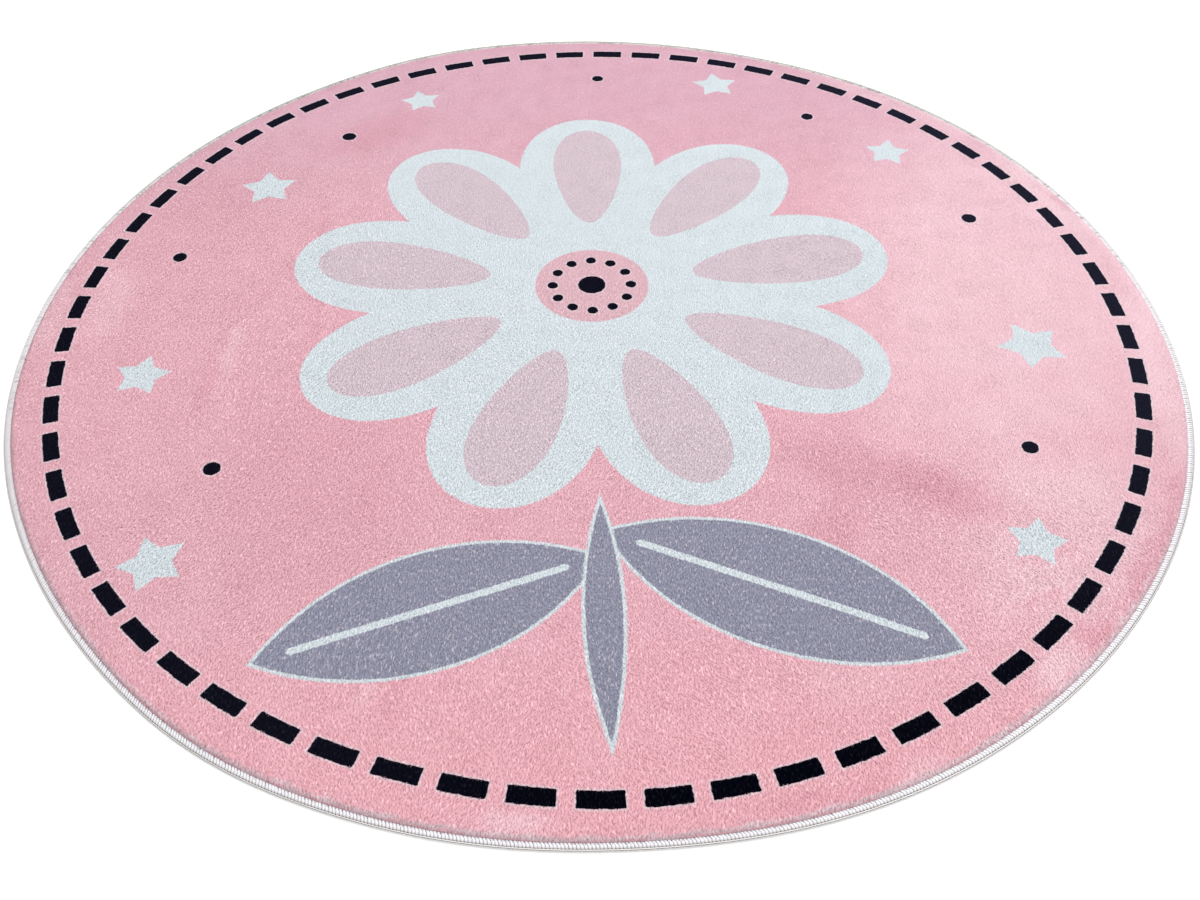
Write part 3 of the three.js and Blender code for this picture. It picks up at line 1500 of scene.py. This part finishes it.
@dataclass
class PileTufts:
    """The short pile: small pointed tufts that lean as the nap was brushed."""

    form: RugForm
    nap: Nap
    pieces: int = 4
    tufts: int = 210_000
    length: float = 0.0036
    length_spread: Pair = (0.75, 1.15)
    girth: float = 0.00052
    girth_spread: Pair = (0.75, 1.25)
    sides: int = 3
    sunk: float = 0.36
    edge_gap: float = 0.0003
    scatter: float = 0.25
    lean_deg: Pair = (60, 84)
    lean_spread: float = 0.06
    heading_spread: float = 0.38
    tone_spread: float = 0.24
    shade_reach: float = 0.0015
    map_margin: float = 0.01
    seed: int = 11

    def build(self, plush: bpy.types.Material) -> list[bpy.types.Object]:
        """Makes the tufts, dealt out to the pieces.

        Args:
            plush: Their finish.

        Returns:
            The pieces.
        """
        form, draw, count = self.form, np.random.default_rng(self.seed), self.tufts
        x, y, far = self._spread(draw)
        out = np.clip((far - form.pile_edge + form.pile_rounding) / form.pile_rounding, 0, 1)
        rise = np.sqrt(np.clip(1 - out**2, 0, 1))
        z = form.lip_height + (form.ground - form.lip_height) * rise
        roots = form.bend(np.stack([x, y, z], 1))

        loose = smooth_step(-LOOSE_SIDEWAYS * x - y, *LOOSE_FADE)
        outward = np.stack([x, y], 1) / np.maximum(far, TINY)[:, None]
        axis = self._axes(draw, x, y, loose, outward, (out**2)[:, None])
        front = smooth_step(-outward[:, 1], *FRONT_FADE)
        shorter = 1 - (0.45 - 0.55 * front) * out
        long = self.length * draw.uniform(*self.length_spread, count) * shorter
        wide = self.girth * draw.uniform(*self.girth_spread, count) * (0.62 + 0.38 * loose)
        tone = np.clip(draw.normal(0.5, self.tone_spread, count), 0, 1)
        corners = self._corners(roots, axis, long, wide, draw.uniform(0, 2 * np.pi, count))
        beyond = (x + self.shade_reach * outward[:, 0], y + self.shade_reach * outward[:, 1])
        bare, shaded = self.nap.pale_edge(*beyond), self.nap.edge_shade(*beyond)
        numbers = {"tone": tone, "bare": bare, "edge_shade": shaded}

        made = []
        for piece in range(self.pieces):
            mine = np.arange(count) % self.pieces == piece
            name = f"pile_tufts_{piece + 1}"
            own = {key: values[mine] for key, values in numbers.items()}
            made.append(self._piece(name, corners[mine], roots[mine], own, plush))
        return made

    def _spread(self, draw: np.random.Generator) -> tuple[np.ndarray, np.ndarray, np.ndarray]:
        """Spreads the tufts over the pile, evenly but for a little scatter.

        Args:
            draw: The source of the scatter.

        Returns:
            Their places across and along, and how far each stands from the centre.
        """
        number = np.arange(self.tufts)
        reach = self.form.pile_edge - self.edge_gap
        radius = reach * np.sqrt((number + 0.5) / self.tufts)
        turn = number * math.pi * (3 - math.sqrt(5))
        gap = reach * math.sqrt(math.pi / self.tufts)
        x = radius * np.cos(turn) + draw.normal(0, self.scatter * gap, self.tufts)
        y = radius * np.sin(turn) + draw.normal(0, self.scatter * gap, self.tufts)
        far = np.hypot(x, y)
        keep = np.minimum(reach / np.maximum(far, TINY), 1)
        return x * keep, y * keep, far * keep

    def _axes(
        self,
        draw: np.random.Generator,
        x: np.ndarray,
        y: np.ndarray,
        loose: np.ndarray,
        outward: np.ndarray,
        edge: np.ndarray,
    ) -> np.ndarray:
        """The direction of each tuft: towards the front, nearly flat, and out over the edge.

        Args:
            draw: The source of their unevenness.
            x: Places across.
            y: Places along.
            loose: How loose the nap stands there.
            outward: The direction away from the centre, as rows of X and Y.
            edge: How near the pile's edge each stands, as a column.

        Returns:
            Directions of length 1, as rows.
        """
        heading = -math.pi / 2 + 0.40 * Lumps(0.30, 5).at(x, y) + 0.25 * Lumps(0.07, 6).at(x, y)
        heading = heading + draw.normal(0, self.heading_spread, self.tufts)
        low, high = np.radians(self.lean_deg)
        share = 0.90 - 0.40 * loose + 0.04 * Lumps(0.045, 7).at(x, y)
        share = share + draw.normal(0, self.lean_spread, self.tufts) * (1 + loose)
        lean = low + (high - low) * np.clip(share, 0, 1)
        level = np.stack([np.cos(heading), np.sin(heading)], 1) * np.sin(lean)[:, None]
        away = (0.15 + 0.65 * smooth_step(-outward[:, 1], -0.70, 0.40))[:, None]
        level = level * (1 - away * edge) + outward * away * edge
        axis = np.concatenate([level, np.cos(lean)[:, None] * (1 - 0.90 * edge)], 1)
        return axis / np.linalg.norm(axis, axis=1)[:, None]

    def _corners(
        self,
        roots: np.ndarray,
        axis: np.ndarray,
        long: np.ndarray,
        wide: np.ndarray,
        spin: np.ndarray,
    ) -> np.ndarray:
        """The corners of each tuft.

        Args:
            roots: Where each stands.
            axis: Its direction.
            long: Its length.
            wide: Its girth.
            spin: Its turn about its own axis.

        Returns:
            Places by tuft and corner, the tip last.
        """
        side = np.cross(axis, (0.0, 0.0, 1.0))
        side /= np.maximum(np.linalg.norm(side, axis=1), TINY)[:, None]
        other = np.cross(axis, side)
        corners = []
        for i in range(self.sides):
            a = spin + i * 2 * np.pi / self.sides
            ring = np.cos(a)[:, None] * side + np.sin(a)[:, None] * other
            corners.append(roots - axis * (self.sunk * long)[:, None] + ring * wide[:, None])
        corners.append(roots + axis * ((1 - self.sunk) * long)[:, None])
        return np.stack(corners, 1)

    def _piece(
        self,
        name: str,
        corners: np.ndarray,
        roots: np.ndarray,
        numbers: dict[str, np.ndarray],
        plush: bpy.types.Material,
    ) -> bpy.types.Object:
        """Joins some tufts to one piece.

        Args:
            name: The piece's name.
            corners: Each tuft's corners, its tip last.
            roots: Where each stands.
            numbers: The values of each tuft by attribute name.
            plush: The finish.

        Returns:
            The piece.
        """
        count, points = len(corners), self.sides + 1
        first = np.arange(count)[:, None] * points
        faces = np.concatenate(
            [first + np.array([[i, (i + 1) % self.sides, self.sides]]) for i in range(self.sides)]
        )
        mesh = mesh_from_arrays(name, corners.reshape(-1, 3), faces)
        self.nap.dress(mesh, np.repeat(roots, points, 0))
        for key, values in numbers.items():
            add_number(mesh, key, np.repeat(values, points))
        places = mesh_points(mesh)[corner_numbers(mesh)][:, :2]
        add_map(mesh, BAKE_MAP, places / (2 * self.form.radius + self.map_margin) + 0.5)
        mesh.materials.append(plush)
        return add_piece(name, mesh)


@dataclass
class Overlock:
    """The sewn edge: slanted wraps of yarn, and the chain that locks them along the rim."""

    form: RugForm
    stitches: int = 1314
    yarn_half_width: float = 0.00143
    yarn_half_thickness: float = 0.00068
    slant: float = -0.0034
    chain_half_width: float = 0.00074
    chain_height: float = 0.0027
    chain_inward: float = 0.00035
    chain_zigzag: float = 0.30
    joint_deg: float = -115.0
    joint_spread_deg: float = 0.4
    joint_swell: float = 0.12
    start_spread: float = 0.00006
    loose_spread: float = 0.00012
    depth_spread: float = 0.00035
    slant_spread: Pair = (0.97, 1.03)
    girth_spread: Pair = (0.99, 1.01)
    chain_spread: Pair = (0.93, 1.07)
    map_margin: float = 0.06
    sides: int = 6
    seed: int = 23

    def path(self) -> np.ndarray:
        """A stitch's path in the section, from under the rug over the rim to the pile.

        Returns:
            Rows of radius less the rim's, height, and how far it has slanted along the rim.
        """
        form, half = self.form, self.yarn_half_thickness
        top, low = form.sewn_height - half, half
        reach = form.sewn_height / 2 - half
        points = [(-form.sewn_width, low + 0.0002, 0.0), (-0.0050, low, 0.08)]
        for turn in np.radians([-90, -45, 0, 45, 90]):
            share = 0.12 + 0.22 * (turn / math.pi + 0.5)
            inward = -0.0007 - half - reach * (1 - math.cos(turn))
            points.append((inward, form.sewn_height / 2 + reach * math.sin(turn), share))
        points += [(-0.0042, top, 0.62), (-0.0064, top, 0.88)]
        points += [(-0.0080, top - 0.0003, 1.0), (-form.sewn_width - 0.0012, top - 0.0010, 1.05)]
        return np.array(points)

    def build(
        self, wrap_yarn: bpy.types.Material, chain_yarn: bpy.types.Material
    ) -> list[bpy.types.Object]:
        """Makes the wraps and the chain, in this order."""
        return [self._wraps(wrap_yarn), self._chain(chain_yarn)]

    def _place(self, angle: np.ndarray, inward: np.ndarray, height: np.ndarray) -> np.ndarray:
        """Puts points of the rim's section on the uneven rug.

        Args:
            angle: Their angles round the rug.
            inward: Their radii less the rim's.
            height: Their heights.

        Returns:
            The places, in the arrays' shape.
        """
        radius = self.form.radius + inward
        flat = np.stack([radius * np.cos(angle), radius * np.sin(angle), height], -1)
        placed = self.form.bend(flat.reshape(-1, 3)).reshape(flat.shape)
        placed[..., 2] = height
        return placed

    def _wraps(self, yarn: bpy.types.Material) -> bpy.types.Object:
        """The slanted wraps, each a flattened yarn.

        Args:
            yarn: Their finish.

        Returns:
            The piece, in the binding's place.
        """
        draw = np.random.default_rng(self.seed)
        path, count = self.path(), self.stitches
        start = np.arange(count) / count * 2 * np.pi + draw.normal(0, self.start_spread, count)
        loose = draw.normal(0, self.loose_spread, count)
        deep = draw.normal(0, self.depth_spread, count)
        lean = self.slant * draw.uniform(*self.slant_spread, count)
        off_joint = (np.degrees(start) - self.joint_deg + 180) % 360 - 180
        swell = self.joint_swell * np.exp(-((off_joint / self.joint_spread_deg) ** 2))
        thick = draw.uniform(*self.girth_spread, count) + swell
        tangent = np.gradient(path[:, :2], axis=0)
        tangent /= np.linalg.norm(tangent, axis=1)[:, None]
        normal = np.stack([tangent[:, 1], -tangent[:, 0]], 1)
        pull = deep[:, None] * np.clip((path[:, 2] - 0.5) * 2, 0, 1)
        lift = loose[:, None] * np.sin(np.pi * np.clip(path[:, 2], 0, 1))
        rings = []
        for i in range(self.sides):
            a = 2 * math.pi * i / self.sides
            off = math.sin(a) * self.yarn_half_thickness * thick[:, None]
            along = math.cos(a) * self.yarn_half_width * thick[:, None]
            inward = path[:, 0] + normal[:, 0] * off + pull
            height = np.maximum(path[:, 1] + normal[:, 1] * off + lift, 0.0)
            angle = start[:, None] + (path[:, 2] * lean[:, None] + along) / self.form.radius
            rings.append(self._place(angle, inward, height))
        return self._joined("overlock_wraps", np.stack(rings, 2), yarn, "edge_binding")

    def _chain(self, yarn: bpy.types.Material) -> bpy.types.Object:
        """The chain along the rim's outer edge, one link to a stitch.

        Args:
            yarn: Its finish.

        Returns:
            The piece.
        """
        count, draw = self.stitches, np.random.default_rng(self.seed + 1)
        pitch = 2 * math.pi / count
        start = np.arange(count) * pitch
        run = np.array([-0.76, -0.42, 0.0, 0.42, 0.76])
        swell = np.array([0.30, 0.86, 1.0, 0.86, 0.30])
        size = self.chain_half_width * draw.uniform(*self.chain_spread, count)[:, None]
        rings = []
        for i in range(self.sides):
            a = 2 * math.pi * i / self.sides
            inward = size * (math.cos(a) * swell + self.chain_zigzag * run) - self.chain_inward
            height = np.maximum(self.chain_height - size * math.sin(a) * swell, 0.0)
            rings.append(self._place(start[:, None] + run * pitch, inward, height))
        return self._joined("overlock_chain", np.stack(rings, 2), yarn, None)

    def _joined(
        self, name: str, points: np.ndarray, yarn: bpy.types.Material, solid: str | None
    ) -> bpy.types.Object:
        """Skins the rings of all the stitches and closes their ends.

        Args:
            name: The piece's name.
            points: Places by stitch, ring and side.
            yarn: The finish.
            solid: The node that the piece takes the place of, if any.

        Returns:
            The piece.
        """
        count, steps, sides = points.shape[:3]
        base = np.arange(count)[:, None, None] * steps * sides
        ring = np.arange(steps - 1)[None, :, None] * sides
        side = np.arange(sides)[None, None, :]
        here, there = base + ring + side, base + ring + (side + 1) % sides
        skin = np.stack([there, here, here + sides, there + sides], -1).reshape(-1, 4)
        first = base[:, 0] + np.arange(sides)
        last = first[:, ::-1] + (steps - 1) * sides
        ends = [part[:, pick] for part in (first, last) for pick in ([0, 1, 2, 3], [0, 3, 4, 5])]
        mesh = mesh_from_arrays(name, points.reshape(-1, 3), np.concatenate([skin, *ends]))
        self._yarn_maps(mesh, steps, sides)
        mesh.materials.append(yarn)
        piece = add_piece(name, mesh)
        if solid:
            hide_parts(solid)
        return piece

    def _yarn_maps(self, mesh: bpy.types.Mesh, steps: int, sides: int) -> None:
        """Gives each stitch its own cell of the bake map, and its run and girth on another.

        Args:
            mesh: The joined stitches.
            steps: Rings in a stitch.
            sides: Points in a ring.
        """
        stitch, within = np.divmod(corner_numbers(mesh), steps * sides)
        ring, side = np.divmod(within, sides)
        counts = face_sizes(mesh)
        face = np.repeat(np.arange(len(counts)), counts)
        has_last, has_first = np.zeros(len(counts), bool), np.zeros(len(counts), bool)
        np.logical_or.at(has_last, face, side == sides - 1)
        np.logical_or.at(has_first, face, side == 0)
        seam = (has_last & has_first)[face] & (side == 0)
        girth = np.where(seam, sides, side) / sides
        run = ring / (steps - 1)
        stretch = np.stack([run, girth], 1)
        add_map(mesh, STITCH_MAP, stretch)
        cells = math.ceil(math.sqrt(self.stitches))
        row, column = np.divmod(stitch, cells)
        inside = self.map_margin + (1 - 2 * self.map_margin) * stretch
        add_map(mesh, BAKE_MAP, (np.stack([column, row], 1) + inside) / cells)


class Lamp(Enum):
    """The soft lamps, each as its place over the rug, its size and its power."""

    OVERHEAD = ((0.0, 0.3, 2.6), 2.2, 38.0)
    BACK_RIGHT = ((1.9, 1.7, 1.5), 1.4, 32.0)


@dataclass
class Studio:
    """Pale floor, soft light, and the camera at the photograph's angle."""

    form: RugForm
    sky_strength: float = 0.82
    floor_glow: float = 0.30
    focal_px: float = 1191.4
    photo_width_px: float = 1200.0
    optical_middle_px: float = 571.3
    sensor_mm: float = 36.0
    camera_place: tuple[float, float, float] = (-0.02551, -0.97671, 0.83403)
    elevation_deg: float = 46.723
    roll_deg: float = 0.953
    floor_size: float = 60.0

    def build(self) -> None:
        """Makes the stage."""
        self._floor()
        self._lights()
        self._camera()

    def _floor(self) -> None:
        """The pale floor, paper with light coming through it."""
        bm = bmesh.new()
        bmesh.ops.create_grid(bm, x_segments=1, y_segments=1, size=self.floor_size / 2)
        mesh = bpy.data.meshes.new("floor")
        bm.to_mesh(mesh)
        bm.free()
        paper = bpy.data.materials.new("floor_paper")
        paper.use_nodes = True
        shader = paper.node_tree.nodes["Principled BSDF"]
        shader.inputs["Base Color"].default_value = (0.92, 0.92, 0.92, 1.0)
        shader.inputs["Roughness"].default_value = 1.0
        shader.inputs["Specular IOR Level"].default_value = 0.0
        shader.inputs["Emission Color"].default_value = (1.0, 1.0, 1.0, 1.0)
        shader.inputs["Emission Strength"].default_value = self.floor_glow
        mesh.materials.append(paper)
        floor = bpy.data.objects.new("floor", mesh)
        bpy.context.scene.collection.objects.link(floor)

    def _lights(self) -> None:
        """A bright even sky, and two large soft lamps."""
        world = bpy.data.worlds.new("studio")
        world.use_nodes = True
        sky = world.node_tree.nodes["Background"]
        sky.inputs["Color"].default_value = (1.0, 1.0, 1.0, 1.0)
        sky.inputs["Strength"].default_value = self.sky_strength
        bpy.context.scene.world = world
        for kind in Lamp:
            place, size, power = kind.value
            lamp = bpy.data.lights.new(kind.name.lower(), "AREA")
            lamp.energy = power
            lamp.size = size
            stand = bpy.data.objects.new(kind.name.lower(), lamp)
            stand.location = place
            stand.rotation_euler = (-Vector(place)).to_track_quat("-Z", "Y").to_euler()
            bpy.context.scene.collection.objects.link(stand)

    def _camera(self) -> None:
        """The camera, its picture's middle moved a little to the photograph's framing."""
        lens = bpy.data.cameras.new("camera")
        lens.sensor_width = self.sensor_mm
        lens.lens = self.focal_px * self.sensor_mm / self.photo_width_px
        lens.shift_x = 0.5 - self.optical_middle_px / self.photo_width_px
        lens.clip_start = 0.01
        camera = bpy.data.objects.new("camera", lens)
        turned = Euler((math.radians(90 - self.elevation_deg), 0, 0)).to_matrix()
        turned = turned @ Matrix.Rotation(math.radians(-self.roll_deg), 3, "Z")
        camera.rotation_euler = turned.to_euler()
        camera.location = Vector(self.camera_place) - Vector((*self.form.middle, 0))
        bpy.context.scene.collection.objects.link(camera)
        bpy.context.scene.camera = camera


def main() -> None:
    """Builds the stage and the rug."""
    logging.basicConfig(level=logging.INFO, format="%(name)s %(message)s")
    form = RugForm()
    Studio(form).build()
    groups = PrintGroups(PrintLayout(), PrintColours())
    nap = Nap(form)
    cloth = RugCloth(form, nap).build(PrintedPlush(groups).material(), BackingWeave().material())
    tufts = PileTufts(form, nap).build(
        PrintedPlush(groups, name="plush_tufts", tufts=True).material()
    )
    chain_yarn = OverlockYarn(
        "chain_yarn",
        light=srgb(246, 243, 242),
        shade=srgb(226, 222, 220),
        rim_share=0.0,
        # Painted shade at the chain's front corners
        corner_shade=0.26,
        # The chain's painted shadow lies on its underside, not along its run
        under_run=-1.0,
        lowered=0.64,
    )
    sewing = Overlock(form).build(OverlockYarn().material(), chain_yarn.material())
    bpy.context.scene.view_settings.view_transform = "Standard"


if __name__ == "__main__":
    main()
